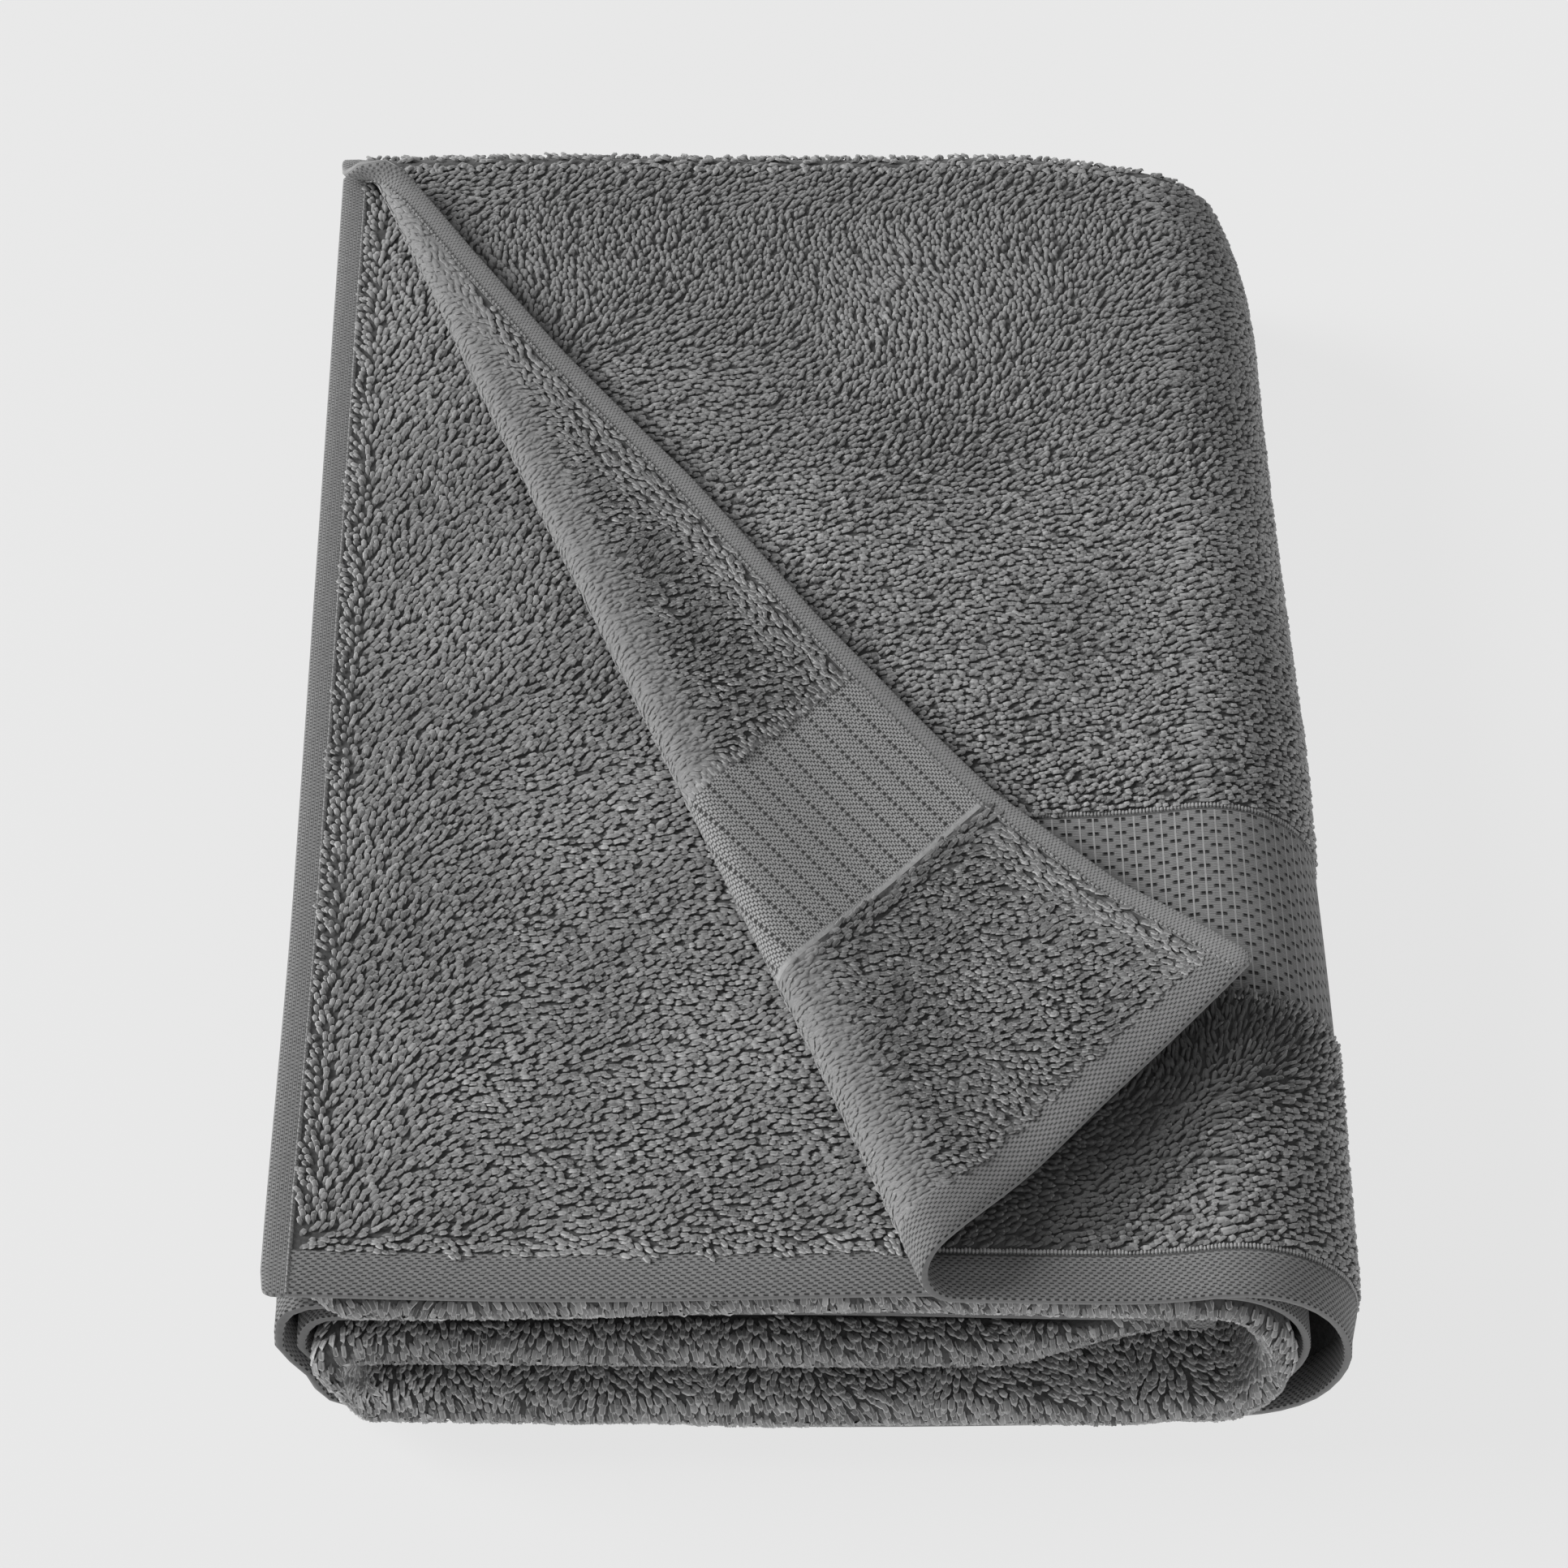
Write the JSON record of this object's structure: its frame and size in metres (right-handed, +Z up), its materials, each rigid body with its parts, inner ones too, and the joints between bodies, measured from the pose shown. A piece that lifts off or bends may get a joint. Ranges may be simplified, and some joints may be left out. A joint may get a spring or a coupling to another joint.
{
  "type": "folded bath towel",
  "caption": "Grey terry bath towel folded to a flat pack, with the free front corner of its top layer turned back in a long slanting flap.",
  "frame": {"origin": "centre of the pack's underside", "axes": "-Y towards the front, where the hem and the layers' ends show; +Y towards the closed back fold; +Z up"},
  "size_m": [0.255, 0.3652, 0.0683],
  "materials": {
    "towel": "matt looped terry with flat woven hems and a flat woven border"
  },
  "bodies": {
    "root": {"towel": "towel"}
  },
  "joints": []
}
